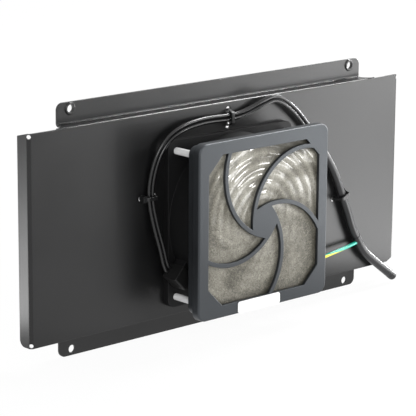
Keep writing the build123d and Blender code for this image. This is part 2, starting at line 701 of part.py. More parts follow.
# Fasteners at the four corners of the fan
corners = [(x, z) for x in (-FAN_PITCH / 2, FAN_PITCH / 2) for z in (-FAN_PITCH / 2, FAN_PITCH / 2)]
earth_corner = (FAN_PITCH / 2, -FAN_PITCH / 2)
with BuildPart() as spacers:
    for corner in corners:
        start = FLANGE_FRONT + (EARTH_RING_THICKNESS if corner == earth_corner else 0.0)
        with BuildSketch(fan_plane(start)):
            with Locations(corner):
                Circle(SPACER_OUTER / 2)
                Circle(SCREW_HOLE / 2, mode=Mode.SUBTRACT)
        extrude(amount=FAN_FRONT - start)
save(spacers, "spacers")

with BuildPart() as fan_screws:
    with BuildSketch(fan_plane(SCREW_POINT)):
        with GridLocations(FAN_PITCH, FAN_PITCH, 2, 2):
            Circle(SCREW / 2)
    extrude(amount=BOSS_TOP - SCREW_POINT)
    with BuildSketch(fan_plane(BOSS_TOP)):
        with GridLocations(FAN_PITCH, FAN_PITCH, 2, 2):
            Circle(SCREW_HEAD / 2)
    extrude(amount=SCREW_HEAD_HEIGHT)
    head_rims = fan_screws.faces().filter_by(Axis.Y).group_by(Axis.Y)[0].edges()
    fillet(head_rims, SCREW_HEAD_HEIGHT / 3)
save(fan_screws, "fan_screws")

with BuildPart() as lock_washers:
    with BuildSketch(fan_plane(WASHER_BACK)):
        with GridLocations(FAN_PITCH, FAN_PITCH, 2, 2):
            Circle(WASHER_OUTER / 2)
            Circle(SCREW_HOLE / 2, mode=Mode.SUBTRACT)
    extrude(amount=WASHER_THICKNESS)
save(lock_washers, "lock_washers")

with BuildPart() as fan_nuts:
    with BuildSketch(fan_plane(NUT_BACK)):
        with GridLocations(FAN_PITCH, FAN_PITCH, 2, 2):
            RegularPolygon(NUT_ACROSS_FLATS / 2, 6, major_radius=False)
            Circle(SCREW / 2 + PRESS_CLEARANCE, mode=Mode.SUBTRACT)
    extrude(amount=NUT_HEIGHT)
save(fan_nuts, "fan_nuts")

# Welded wire finger guard over the air opening, behind the panel
ring_depth = PANEL_BACK - FINGER_STAND_OFF
strut_depth = ring_depth - WIRE + WIRE_WELD
eyelet_depth = PANEL_BACK - WIRE / 2
eyelet_radius = (SCREW_HOLE + WIRE) / 2
finger_rings = ring_radii(FAN_OPENING / 2 - FINGER_EDGE, FINGER_PITCH, FINGER_PITCH)
with BuildPart() as finger_guard:
    for radius in finger_rings:
        with Locations(fan_plane(ring_depth)):
            Torus(radius, WIRE / 2)
    for corner in corners:
        outward = Vector(corner[0], 0, corner[1]).normalized()
        strut_line = Plane(origin=(0, 0, FAN_Z), x_dir=outward, z_dir=outward.cross(Vector(0, -1, 0)))
        foot = CORNER_REACH - eyelet_radius
        with BuildLine(strut_line) as strut:
            FilletPolyline(
                (finger_rings[-1], strut_depth),
                (foot - FINGER_RAMP, strut_depth),
                (foot - WIRE, eyelet_depth),
                (foot, eyelet_depth),
                radius=WIRE / 2,
            )
        with BuildSketch(Plane(origin=strut.line @ 0, z_dir=strut.line % 0)):
            Circle(WIRE / 2)
        sweep()
        with Locations(front_plane(corner[0], eyelet_depth, FAN_Z + corner[1])):
            Torus(eyelet_radius, WIRE / 2)
save(finger_guard, "finger_guard")

# Fan plug, pushed onto the terminal blades
plug_plane = Plane(origin=plug_top, x_dir=plug_inward, z_dir=plug_down)
with BuildPart() as fan_plug:
    with BuildSketch(plug_plane):
        RectangleRounded(PLUG_WIDTH, PLUG_DEPTH, PLUG_EDGE)
    extrude(amount=PLUG_LENGTH)
    with BuildSketch(terminal_plane):
        with GridLocations(TERMINAL_SPACING, 0, 2, 1):
            Rectangle(TERMINAL_THICKNESS + 2 * PRESS_CLEARANCE, TERMINAL_WIDTH + 2 * PRESS_CLEARANCE)
    extrude(amount=-TERMINAL_ENTRY, mode=Mode.SUBTRACT)
save(fan_plug, "fan_plug")

# Leads, sleeve and supply cord
save(cord(beside(lead_points, LEAD_PITCH / 2), LEAD), "outer_lead")
save(cord(beside(lead_points, -LEAD_PITCH / 2), LEAD), "inner_lead")
sleeve_points = to_points(SLEEVE_ROUTE)
save(cord(sleeve_points, SLEEVE), "lead_sleeve")
boot_start = sleeve_points[-1]
boot_way = (sleeve_points[-1] - sleeve_points[-2]).normalized()
breakout_boot = rod(boot_start, boot_start + boot_way * BOOT_LENGTH, BOOT)
save(breakout_boot, "breakout_boot")

cord_points = to_points(CORD_ROUTE)
cord_points[0] = boot_start + boot_way * BOOT_LENGTH
cord_points[1] = cord_points[0] + boot_way * (cord_points[1] - cord_points[0]).length
save(cord(cord_points, SUPPLY_CORD), "supply_cord")

cap_way = (cord_points[-1] - cord_points[-2]).normalized()
with BuildPart() as cord_cap:
    with BuildSketch(Plane(origin=cord_points[-1], z_dir=cap_way)):
        Circle(CAP / 2)
    extrude(amount=CAP_LENGTH)
    fillet(cord_cap.faces().sort_by(Axis(cord_points[-1], cap_way))[-1].edges(), CAP / 2.4)
save(cord_cap, "cord_cap")

# Earth wire from the boot to a ring under the lower right spacer
earth_tube = cord(to_points(EARTH_ROUTE), LEAD)
with BuildPart() as earth_wire:
    add(earth_tube.part)
    add(breakout_boot.part, mode=Mode.SUBTRACT)
save(earth_wire, "earth_wire")

crimp_end = to_points(EARTH_ROUTE)[0]
with BuildPart() as earth_ring:
    with BuildSketch(fan_plane(FLANGE_FRONT)):
        with Locations(earth_corner):
            Circle(EARTH_RING / 2)
            Rectangle(crimp_end.X - FAN_PITCH / 2 - CRIMP_LENGTH / 2, CRIMP, align=(Align.MIN, Align.CENTER))
            Circle(SCREW_HOLE / 2, mode=Mode.SUBTRACT)
    extrude(amount=EARTH_RING_THICKNESS)
    with BuildSketch(Plane(origin=crimp_end, z_dir=(-1, 0, 0))):
        Circle(CRIMP / 2)
    extrude(amount=CRIMP_LENGTH)
save(earth_ring, "earth_ring")

# Cable ties, each a closed strap through its pair of holes
for name, ((x, _, z), (along_x, along_z), height, bundle) in TIES.items():
    along = Vector(along_x, 0, along_z).normalized()
    out = Vector(0, -1, 0)
    strap_plane = Plane(origin=(x, -PANEL_FRONT, z), x_dir=out.cross(along), z_dir=along)
    crown = height + bundle / 2 + TIE_CLEARANCE + TIE_THICKNESS / 2
    leg = TIE_HOLE_SPACING / 2
    shoulder = LEAD_PITCH / 2 + LEAD / 2 + TIE_CLEARANCE + TIE_THICKNESS / 2
    under = -(SHEET + TIE_CLEARANCE + TIE_THICKNESS / 2)
    with BuildPart() as tie:
        with BuildSketch(strap_plane):
            with BuildLine():
                FilletPolyline(
                    (-leg, under),
                    (leg, under),
                    (leg, TIE_CLEARANCE),
                    (shoulder, crown),
                    (-shoulder, crown),
                    (-leg, TIE_CLEARANCE),
                    radius=TIE_THICKNESS,
                    close=True,
                )
            trace(line_width=TIE_THICKNESS)
        extrude(amount=TIE_STRAP / 2, both=True)
        with BuildSketch(strap_plane):
            if name in HEADS_IN_FRONT:
                with Locations((leg, TIE_CLEARANCE)):
                    Rectangle(TIE_HEAD_HEIGHT, TIE_HEAD, align=(Align.CENTER, Align.MIN))
            else:
                with Locations((0, under)):
                    Rectangle(TIE_HEAD, TIE_HEAD_HEIGHT, align=(Align.CENTER, Align.MAX))
        extrude(amount=TIE_HEAD / 2, both=True)
    save(tie, name)
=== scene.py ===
"""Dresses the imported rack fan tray: cords, filter pad, finishes, light and camera."""

import math

import bpy
from mathutils import Matrix, Quaternion, Vector


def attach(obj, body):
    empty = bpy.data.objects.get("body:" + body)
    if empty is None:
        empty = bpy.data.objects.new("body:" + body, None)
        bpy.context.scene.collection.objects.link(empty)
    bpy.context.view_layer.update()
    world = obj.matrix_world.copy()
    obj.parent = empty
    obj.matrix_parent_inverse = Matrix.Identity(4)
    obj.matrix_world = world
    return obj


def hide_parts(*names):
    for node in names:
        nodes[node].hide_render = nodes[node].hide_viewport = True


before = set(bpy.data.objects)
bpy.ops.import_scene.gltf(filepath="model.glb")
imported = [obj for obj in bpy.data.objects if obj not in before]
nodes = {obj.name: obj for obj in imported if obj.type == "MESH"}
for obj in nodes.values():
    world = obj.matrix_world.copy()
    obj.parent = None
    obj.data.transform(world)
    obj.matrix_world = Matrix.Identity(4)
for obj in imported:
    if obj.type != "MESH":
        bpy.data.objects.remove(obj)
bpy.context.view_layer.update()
scene = bpy.context.scene

# Camera: lengths in metres, lens and sensor in millimetres
AIM = Vector((-0.0182, -0.012, -0.0009))
AZIMUTH = math.radians(42.72)
ELEVATION = math.radians(13.41)
ROLL = math.radians(0.40)
DISTANCE = 1.4925
LENS = 181.5
SENSOR = 36.0

# Heights of the fan's axis and the floor, and the panel's front face
FAN_Z = -0.0064
FLOOR_Z = -0.0885
FLOOR_REACH = 8.0
PANEL_FRONT = 0.012

# Filter pad: depths in front of the mounting plane, outline and edge
PAD_BACK = 0.0401
PAD_FRONT = 0.0492
PAD_INSET = 0.0009
PAD_HALF = 0.0574
PAD_CORNER = 0.0974
PAD_RIM = 0.003
PAD_ROUND = 0.0012
PAD_STEPS = 200
DIAGONAL = 0.7071

# Rings that the pad is pressed on, most from a little below the axis upwards
RING_PITCH = 0.0075
RING_SWELL = 0.0004
PRESS_START = -0.012
PRESS_RISE = 0.03
PRESS_LEAST = 0.25

# Pattern of the pad's bands, painted sheen streaks in its colour and patches of its film: turns round the
# hub, lean and spacing outwards
SWIRL_TURN = 1.9
SWIRL_LEAN = 34.0
SWIRL_REACH = 26.0

# Where painted shade darkens the pad towards the edges of the cover's window (its left side, foot and upper
# right corner), and where its film shines
LEFT_SHADE = (-0.053, -0.041)
FOOT_SHADE = (-0.060, -0.048)
SHADE_CORNER_ACROSS = (0.0, 0.025)
SHADE_CORNER_UP = (0.035, 0.041)
FILM_UP = (-0.005, 0.015)

# Wiring routes: x, height above the panel, z along each line
LEAD = 0.0028
LEAD_PITCH = 0.0032
SLEEVE = 0.0064
SUPPLY_CORD = 0.0068
LEAD_ROUTE = [
    (-0.0620, 0.0074, -0.0375),
    (-0.0649, 0.0074, -0.0348),
    (-0.0675, 0.0064, -0.0215),
    (-0.0722, 0.0048, -0.0046),
    (-0.0753, 0.0024, 0.0155),
    (-0.0734, 0.0030, 0.0330),
    (-0.0672, 0.0052, 0.0502),
    (-0.0535, 0.0060, 0.0610),
    (-0.0270, 0.0038, 0.0643),
    (0.0008, 0.0024, 0.0625),
    (0.0165, 0.0030, 0.0649),
    (0.0330, 0.0044, 0.0707),
    (0.0435, 0.0051, 0.0726),
    (0.0565, 0.0052, 0.0656),
    (0.0725, 0.0040, 0.0522),
    (0.0850, 0.0040, 0.0369),
]
SLEEVE_ROUTE = [
    (0.0850, 0.0040, 0.0369),
    (0.0920, 0.0040, 0.0283),
    (0.1029, 0.0040, 0.0136),
    (0.1100, 0.0040, 0.0008),
    (0.1154, 0.0040, -0.0116),
    (0.1216, 0.0040, -0.0246),
    (0.1266, 0.0040, -0.0382),
    (0.1312, 0.0043, -0.0456),
]
CORD_ROUTE = [
    (0.1349, 0.0045, -0.0515),
    (0.1391, 0.0048, -0.0583),
    (0.1504, 0.0058, -0.0677),
    (0.1685, 0.0062, -0.0812),
]
EARTH_ROUTE = [
    (0.0640, 0.0063, -0.0589),
    (0.0750, 0.0063, -0.0589),
    (0.0900, 0.0076, -0.0550),
    (0.1060, 0.0074, -0.0530),
    (0.1200, 0.0064, -0.0516),
    (0.1330, 0.0049, -0.0501),
]

# Stripe of the earth wire: turns for each metre, where it starts, and its share of the wire left green
STRIPE_WIND = 12.0
STRIPE_START = 1.83
STRIPE_GREEN = 0.6

# Satin finishes: size of their clouds, relief, and how far a normal turns at an edge or a fold
CLOUD_SCALE = 28.0
GRAIN_DEPTH = 0.0002
BEVEL_SAMPLES = 6
EDGE_TURN = (0.80, 0.995)
FOLD_TURN = (0.9, 0.99)

# Sockets of the mix node that hold its two colours and their blend
MIX_FIRST, MIX_SECOND, MIX_RESULT = 6, 7, 2

# Brightness of the world for light, and how white the floor looks
WORLD_LIGHT = 0.3
FLOOR_WHITE = 0.96

# Soft lights: name, place, point it faces, width, height, power in watts, roll in degrees
LAMPS = [
    ("right_glow", (0.434, -0.277, -0.080), (0.421, -0.263, 0.92), 0.16, 0.66, 1.55, 0.0),
    ("cover_glow", (0.335, -0.380, -0.083), (0.322, -0.366, 0.917), 0.10, 0.40, 0.70, 0.0),
    ("near_glow", (-0.05, -0.11, -0.084), (-0.063, -0.096, 0.916), 0.08, 0.16, 0.009, 0.0),
    ("left_glow", (-0.38, 0.215, -0.083), (-0.373, 0.207, 0.917), 0.12, 0.42, 0.9, 0.0),
    ("side_rim", (1.95, 0.27, 1.22), (0.1, 0.0, 0.0), 0.5, 0.5, 30.0, 0.0),
    ("edge_box", (2.0, -0.03, 0.27), (0.06, -0.01, 0.04), 0.3, 0.3, 24.0, 0.0),
    ("rim_box", (1.69, 0.064, 1.95), (0.04, 0.0, 0.05), 0.6, 0.4, 45.0, 26.0),
    ("right_box", (0.62, -0.36, 0.08), (0.12, 0.0, 0.0), 0.30, 0.27, 1.6, 0.0),
    ("front_box", (0.70, -0.84, 0.26), (-0.02, -0.05, 0.02), 0.13, 0.16, 2.0, 0.0),
    ("key_box", (-0.75, -0.95, 0.55), (-0.03, -0.03, 0.0), 0.6, 0.6, 7.0, 0.0),
]


def add_node(tree, kind, inputs=None, **settings):
    """A shader node with its settings and inputs; an input is a value or another node's output."""
    node = tree.nodes.new(kind)
    for key, value in settings.items():
        setattr(node, key, value)
    for key, value in (inputs or {}).items():
        if isinstance(value, bpy.types.NodeSocket):
            tree.links.new(value, node.inputs[key])
        else:
            node.inputs[key].default_value = value
    return node


def ramp(tree, factor, stops):
    """Colour ramp from (position, colour) stops."""
    node = add_node(tree, "ShaderNodeValToRGB", {"Fac": factor})
    elements = node.color_ramp.elements
    while len(elements) < len(stops):
        elements.new(1.0)
    for element, (position, colour) in zip(elements, stops):
        element.position = position
        element.color = (*colour, 1.0)
    return node.outputs["Color"]


def spread(tree, factor, low, high, start=0.3, end=0.7):
    """A number that goes from low to high as a pattern goes from start to end."""
    node = add_node(
        tree,
        "ShaderNodeMapRange",
        {"Value": factor, "From Min": start, "From Max": end, "To Min": low, "To Max": high},
    )
    return node.outputs["Result"]


def math_node(tree, operation, first, second=0.0):
    """Result of one sum on two numbers or outputs."""
    return add_node(tree, "ShaderNodeMath", {0: first, 1: second}, operation=operation).outputs[0]


def times(tree, first, second):
    """Product of two numbers or outputs."""
    return math_node(tree, "MULTIPLY", first, second)


def total(tree, first, *others):
    """Sum of numbers or outputs, added in turn."""
    for other in others:
        first = math_node(tree, "ADD", first, other)
    return first


def noise_at(tree, place, scale, detail=2.0, distortion=0.0):
    """Noise pattern whose features are about one over scale metres wide."""
    inputs = {"Vector": place, "Scale": scale, "Detail": detail, "Distortion": distortion}
    return add_node(tree, "ShaderNodeTexNoise", inputs).outputs["Fac"]


def new_material(name, **surface):
    """Empty material with constant values set on its shader."""
    material = bpy.data.materials.new(name)
    material.use_nodes = True
    shader = material.node_tree.nodes["Principled BSDF"]
    for key, value in surface.items():
        shader.inputs[key.replace("_", " ").title().replace("Ior", "IOR")].default_value = value
    return material, material.node_tree, shader


def satin(name, dark, light, rough, grain, bump, edge, worn=None, fold=None, **surface):
    """Moulded or painted surface with grain and soft edges.

    The grain shows in colour, gloss and relief. Edges turn to a lighter colour, partly wear and partly a
    painted highlight along them, and folds have their roughness times fold, where these are given.
    """
    material, tree, shader = new_material(name, **surface)
    place = add_node(tree, "ShaderNodeTexCoord").outputs["Object"]
    cloud = noise_at(tree, place, CLOUD_SCALE, 3.0)
    speck = noise_at(tree, place, grain, 3.0)
    tone = total(tree, times(tree, cloud, 0.5), times(tree, speck, 0.5))
    colour = ramp(tree, tone, [(0.35, dark), (0.65, light)])
    rounded = add_node(tree, "ShaderNodeBevel", {"Radius": edge}, samples=BEVEL_SAMPLES).outputs["Normal"]
    if worn:
        true_normal = add_node(tree, "ShaderNodeNewGeometry").outputs["Normal"]
        facing = add_node(
            tree, "ShaderNodeVectorMath", {0: rounded, 1: true_normal}, operation="DOT_PRODUCT"
        )
        # lighter edges: partly wear, partly a painted highlight along them
        edge_wear_and_sheen_mask = spread(tree, facing.outputs["Value"], 1.0, 0.0, *EDGE_TURN)
        patchy_wear_and_sheen = times(tree, edge_wear_and_sheen_mask, spread(tree, speck, 0.2, 1.0))
        blend = add_node(tree, "ShaderNodeMix", data_type="RGBA")
        tree.links.new(patchy_wear_and_sheen, blend.inputs["Factor"])
        tree.links.new(colour, blend.inputs[MIX_FIRST])
        blend.inputs[MIX_SECOND].default_value = (*worn, 1.0)
        colour = blend.outputs[MIX_RESULT]
    tree.links.new(colour, shader.inputs["Base Color"])
    gloss = spread(tree, tone, *rough)
    if fold:
        way = add_node(tree, "ShaderNodeVectorMath", operation="ABSOLUTE")
        tree.links.new(add_node(tree, "ShaderNodeNewGeometry").outputs["Normal"], way.inputs[0])
        axes = add_node(tree, "ShaderNodeSeparateXYZ", {"Vector": way.outputs["Vector"]}).outputs
        flat = math_node(tree, "MAXIMUM", math_node(tree, "MAXIMUM", axes["X"], axes["Y"]), axes["Z"])
        gloss = times(tree, gloss, spread(tree, flat, fold, 1.0, *FOLD_TURN))
    tree.links.new(gloss, shader.inputs["Roughness"])
    relief = add_node(
        tree,
        "ShaderNodeBump",
        {"Strength": bump, "Distance": GRAIN_DEPTH, "Height": speck, "Normal": rounded},
    )
    tree.links.new(relief.outputs["Normal"], shader.inputs["Normal"])
    return material


def earth_stripes(name):
    """Green wire cover with a yellow stripe that winds slowly round it."""
    material, tree, shader = new_material(name, Specular_IOR_Level=0.5)
    strip = add_node(tree, "ShaderNodeUVMap", uv_map="along").outputs["UV"]
    parts = add_node(tree, "ShaderNodeSeparateXYZ", {"Vector": strip}).outputs
    wound = math_node(tree, "SUBTRACT", parts["Y"], times(tree, parts["X"], STRIPE_WIND))
    turn = math_node(tree, "FRACT", total(tree, wound, STRIPE_START))
    stops = [
        (0.0, (0.01, 0.38, 0.27)),
        (0.56, (0.03, 0.48, 0.36)),
        (STRIPE_GREEN, (0.85, 0.80, 0.06)),
    ]
    tree.links.new(ramp(tree, turn, stops), shader.inputs["Base Color"])
    place = add_node(tree, "ShaderNodeTexCoord").outputs["Object"]
    fine = noise_at(tree, place, 900.0)
    tree.links.new(spread(tree, fine, 0.14, 0.22), shader.inputs["Roughness"])
    relief = add_node(tree, "ShaderNodeBump", {"Strength": 0.1, "Distance": 0.0001, "Height": fine})
    tree.links.new(relief.outputs["Normal"], shader.inputs["Normal"])
    return material


def filter_mesh(name):
    """Fibre mat with fine matted strands, uneven bands and a glossy film on its upper half.

    Its colour holds painted light: the bands are painted sheen streaks, and the crowns between the rings it
    is pressed on are painted paler as highlights. Painted shade darkens it towards the bottom and at the
    window's left side, foot and upper right corner.
    """
    material, tree, shader = new_material(name, Specular_IOR_Level=0.4)
    place = add_node(tree, "ShaderNodeTexCoord").outputs["Object"]
    swirl = add_node(tree, "ShaderNodeUVMap", uv_map="swirl").outputs["UV"]
    rings = add_node(tree, "ShaderNodeUVMap", uv_map="rings").outputs["UV"]
    ring = add_node(tree, "ShaderNodeSeparateXYZ", {"Vector": rings}).outputs
    spot = add_node(tree, "ShaderNodeSeparateXYZ", {"Vector": place}).outputs
    level = spot["Z"]
    sheen_bands = noise_at(tree, swirl, 1.0, 3.0, 0.6)
    strands = noise_at(tree, place, 700.0, 4.0, 1.5)
    grit = noise_at(tree, place, 1600.0, 2.0)

    # Colour, with painted sheen streaks, painted highlights on the crowns and painted shade
    # painted shade in the window's upper right corner, where the film is also taken off
    corner = times(
        tree,
        spread(tree, spot["X"], 0.0, 1.0, *SHADE_CORNER_ACROSS),
        spread(tree, level, 0.0, 1.0, *SHADE_CORNER_UP),
    )
    tone = total(
        tree,
        # painted sheen streaks along the bands
        times(tree, sheen_bands, 0.42),
        times(tree, strands, 0.42),
        # painted highlight: paler crowns where the pad swells between the rings
        times(tree, ring["X"], 0.08),
        # painted shade: darker towards the bottom, at the window's left side and at its foot
        spread(tree, level, -0.04, 0.005, -0.05, 0.03),
        spread(tree, spot["X"], -0.07, 0.0, *LEFT_SHADE),
        spread(tree, level, -0.05, 0.0, *FOOT_SHADE),
    )
    # painted shade taken off the tone in the upper right corner
    tone = math_node(tree, "SUBTRACT", tone, times(tree, corner, 0.24))
    stops = [
        (0.30, (0.062, 0.058, 0.044)),
        (0.40, (0.157, 0.147, 0.118)),
        (0.50, (0.272, 0.261, 0.218)),
        (0.64, (0.49, 0.476, 0.418)),
    ]
    tree.links.new(ramp(tree, tone, stops), shader.inputs["Base Color"])

    # Strands
    tree.links.new(spread(tree, strands, 0.45, 0.7), shader.inputs["Roughness"])
    height = total(tree, strands, times(tree, grit, 0.4))
    relief = add_node(tree, "ShaderNodeBump", {"Strength": 0.45, "Distance": 0.0004, "Height": height})
    tree.links.new(relief.outputs["Normal"], shader.inputs["Normal"])

    # Film, which leans back more and more towards the top
    gloss = times(tree, spread(tree, sheen_bands, 0.0, 1.0, 0.42, 0.54), spread(tree, level, 0.12, 1.0, *FILM_UP))
    gloss = times(tree, gloss, math_node(tree, "SUBTRACT", 1.0, corner))
    tree.links.new(gloss, shader.inputs["Coat Weight"])
    tree.links.new(spread(tree, grit, 0.03, 0.09), shader.inputs["Coat Roughness"])
    upper = math_node(tree, "MAXIMUM", level, 0.0)
    lean = times(tree, times(tree, upper, upper), -2600.0)
    uneven = total(tree, noise_at(tree, place, 45.0, 1.0), lean)
    film = add_node(tree, "ShaderNodeBump", {"Strength": 0.6, "Distance": 0.003, "Height": uneven})
    tree.links.new(film.outputs["Normal"], shader.inputs["Coat Normal"])
    return material


# Finish of each slot; colours are dark and light ends of the grain, lengths in metres
finishes = {
    "panel_paint": dict(
        dark=(0.003, 0.003, 0.0032), light=(0.006, 0.006, 0.0063), rough=(0.27, 0.35),
        grain=3000.0, bump=0.10, edge=0.0006, worn=(0.05, 0.05, 0.052), fold=0.6, Specular_IOR_Level=0.45,
    ),
    "fan_casting": dict(
        dark=(0.003, 0.003, 0.0032), light=(0.006, 0.006, 0.0064), rough=(0.5, 0.62),
        grain=1200.0, bump=0.25, edge=0.0005, worn=(0.02, 0.02, 0.021), Specular_IOR_Level=0.22,
    ),
    "guard_plastic": dict(
        dark=(0.008, 0.0087, 0.0098), light=(0.013, 0.0142, 0.016), rough=(0.40, 0.52),
        grain=1800.0, bump=0.22, edge=0.0006, worn=(0.014, 0.0152, 0.017), Specular_IOR_Level=0.66,
        Specular_Tint=(0.86, 0.93, 1.0, 1.0),
    ),
    "label_white": dict(
        dark=(0.90, 0.90, 0.90), light=(0.95, 0.95, 0.95), rough=(0.3, 0.45),
        grain=700.0, bump=0.05, edge=0.0002,
    ),
    "impeller_plastic": dict(
        dark=(0.012, 0.012, 0.012), light=(0.022, 0.022, 0.023), rough=(0.32, 0.45),
        grain=1000.0, bump=0.12, edge=0.0004,
    ),
    "motor_steel": dict(
        dark=(0.32, 0.32, 0.33), light=(0.46, 0.46, 0.47), rough=(0.3, 0.5),
        grain=900.0, bump=0.2, edge=0.0003, Metallic=0.9,
    ),
    "winding": dict(
        dark=(0.30, 0.10, 0.03), light=(0.48, 0.19, 0.06), rough=(0.25, 0.4),
        grain=1400.0, bump=0.6, edge=0.0003, Metallic=0.85,
    ),
    # near-white colour stands in for the bright reflection of the plated metal: a painted reflection
    "spacer_plating": dict(
        dark=(0.96, 0.96, 0.965), light=(1.0, 1.0, 1.0), rough=(0.2, 0.3),
        grain=1100.0, bump=0.05, edge=0.0003, Metallic=0.08,
    ),
    "bright_steel": dict(
        dark=(0.48, 0.48, 0.49), light=(0.66, 0.66, 0.67), rough=(0.2, 0.34),
        grain=1100.0, bump=0.1, edge=0.0003, Metallic=1.0,
    ),
    "guard_wire": dict(
        dark=(0.42, 0.42, 0.43), light=(0.58, 0.58, 0.6), rough=(0.22, 0.36),
        grain=900.0, bump=0.12, edge=0.0003, Metallic=1.0,
    ),
    "plug_plastic": dict(
        dark=(0.004, 0.004, 0.004), light=(0.008, 0.008, 0.008), rough=(0.42, 0.58),
        grain=1300.0, bump=0.25, edge=0.0007, worn=(0.015, 0.015, 0.016), Specular_IOR_Level=0.25,
    ),
    "lead_black": dict(
        dark=(0.004, 0.004, 0.0042), light=(0.009, 0.009, 0.0095), rough=(0.2, 0.3),
        grain=3000.0, bump=0.03, edge=0.0002,
    ),
    "sleeve_black": dict(
        dark=(0.006, 0.006, 0.007), light=(0.014, 0.014, 0.0155), rough=(0.26, 0.36),
        grain=900.0, bump=0.2, edge=0.0003,
    ),
    "cord_black": dict(
        dark=(0.01, 0.01, 0.011), light=(0.02, 0.02, 0.022), rough=(0.28, 0.4),
        grain=800.0, bump=0.15, edge=0.0004,
    ),
    "tie_nylon": dict(
        dark=(0.005, 0.005, 0.005), light=(0.01, 0.01, 0.0105), rough=(0.3, 0.42),
        grain=900.0, bump=0.1, edge=0.0003,
    ),
}
materials = {slot: satin(slot, **finish) for slot, finish in finishes.items()}
materials["filter_mesh"] = filter_mesh("filter_mesh")
materials["earth_green"] = earth_stripes("earth_green")

node_slots = {
    "mounting_panel": "panel_paint",
    "fan_frame": "fan_casting",
    "guard_base": "guard_plastic",
    "filter_retainer": "guard_plastic",
    "label_plate": "label_white",
    "impeller": "impeller_plastic",
    "rear_bearing": "motor_steel",
    "front_bearing": "motor_steel",
    "stator_core": "motor_steel",
    "stator_coils": "winding",
    "rotor_ring": "motor_steel",
    "shaft": "motor_steel",
    "shaft_clip": "motor_steel",
    "fan_terminals": "bright_steel",
    "spacers": "spacer_plating",
    "fan_screws": "bright_steel",
    "lock_washers": "bright_steel",
    "fan_nuts": "bright_steel",
    "finger_guard": "guard_wire",
    "fan_plug": "plug_plastic",
    "earth_ring": "bright_steel",
    "breakout_boot": "sleeve_black",
    "cord_cap": "cord_black",
    "left_tie": "tie_nylon",
    "top_tie": "tie_nylon",
    "right_tie": "tie_nylon",
}
for name, slot in node_slots.items():
    nodes[name].data.materials.clear()
    nodes[name].data.materials.append(materials[slot])


def add_object(name, data):
    """New object in the scene."""
    piece = bpy.data.objects.new(name, data)
    scene.collection.objects.link(piece)
    return piece


def settle(piece, slot, body, *replaced):
    """Give a finished piece its slot and the body it rides on, in place of CAD nodes."""
    piece.data.materials.append(materials[slot])
    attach(piece, body)
    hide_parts(*replaced)


def to_points(route):
    """Row coordinates of a route given as x, height above the panel, z."""
    return [Vector((x, -PANEL_FRONT - height, z)) for x, height, z in route]


def beside(points, distance):
    """The same route moved sideways across the panel, as one lead of a pair lies."""
    moved = []
    last = len(points) - 1
    for i, point in enumerate(points):
        run_in = point - points[i - 1] if i else points[1] - point
        run_out = points[i + 1] - point if i < last else run_in
        flat_in = Vector((run_in.x, 0.0, run_in.z)).normalized()
        flat_out = Vector((run_out.x, 0.0, run_out.z)).normalized()
        middle = (flat_in + flat_out).normalized()
        moved.append(point + Vector((-middle.z, 0.0, middle.x)) * (distance / middle.dot(flat_in)))
    return moved


def cord_curve(name, points, diameter):
    """Smooth round cord with the route's points as its control points."""
    curve = bpy.data.curves.new(name, "CURVE")
    curve.dimensions = "3D"
    curve.resolution_u = 16
    curve.bevel_depth = diameter / 2
    curve.bevel_resolution = 6
    curve.use_fill_caps = True
    spline = curve.splines.new("NURBS")
    spline.points.add(len(points) - 1)
    for target, point in zip(spline.points, points):
        target.co = (*point, 1.0)
    spline.order_u = 3
    spline.use_endpoint_u = True
    return add_object(name, curve)


def centreline(piece):
    """Points along a cord curve, read from its own spline."""
    depth = piece.data.bevel_depth
    piece.data.bevel_depth = 0.0
    bpy.context.view_layer.update()
    line = bpy.data.meshes.new_from_object(piece.evaluated_get(bpy.context.evaluated_depsgraph_get()))
    points = [v.co.copy() for v in line.vertices]
    bpy.data.meshes.remove(line)
    piece.data.bevel_depth = depth
    return points


def tube_mesh(name, points, diameter, sides=20):
    """Round tube along points, with its length and its turn kept in a UV map."""
    vertices = []
    faces = []
    lengths = [0.0]
    for before, after in zip(points, points[1:]):
        lengths.append(lengths[-1] + (after - before).length)
    side_way = Vector((0.0, 0.0, 1.0))
    for i, point in enumerate(points):
        along = (points[min(i + 1, len(points) - 1)] - points[max(i - 1, 0)]).normalized()
        side_way = (side_way - along * side_way.dot(along)).normalized()
        other_way = along.cross(side_way)
        for j in range(sides):
            turn = 2.0 * math.pi * j / sides
            outward = side_way * math.cos(turn) + other_way * math.sin(turn)
            vertices.append(point + outward * diameter / 2)
    for i in range(len(points) - 1):
        for j in range(sides):
            k = (j + 1) % sides
            faces.append((i * sides + j, i * sides + k, (i + 1) * sides + k, (i + 1) * sides + j))
    faces.append(tuple(reversed(range(sides))))
    faces.append(tuple(range((len(points) - 1) * sides, len(points) * sides)))
    mesh = bpy.data.meshes.new(name)
    mesh.from_pydata(vertices, [], faces)
    strip = mesh.uv_layers.new(name="along")
    for polygon in mesh.polygons:
        wraps = polygon.index % sides == sides - 1
        for loop, vertex in zip(polygon.loop_indices, polygon.vertices):
            turn = (vertex % sides) / sides
            strip.data[loop].uv = (lengths[vertex // sides], 1.0 if wraps and turn == 0.0 else turn)
    mesh.shade_smooth()
    return add_object(name, mesh)


# Camera
camera_data = bpy.data.cameras.new("camera")
camera_data.sensor_width = SENSOR
camera_data.lens = LENS
camera = add_object("camera", camera_data)
forward = Vector(
    (
        math.sin(AZIMUTH) * math.cos(ELEVATION),
        math.cos(AZIMUTH) * math.cos(ELEVATION),
        -math.sin(ELEVATION),
    )
)
level = Vector((math.cos(AZIMUTH), -math.sin(AZIMUTH), 0.0))
upward = level.cross(forward)
across = level * math.cos(ROLL) + upward * math.sin(ROLL)
turned = Matrix((across, across.cross(forward), -forward)).transposed()
camera.matrix_world = Matrix.Translation(AIM - forward * DISTANCE) @ turned.to_4x4()
scene.camera = camera

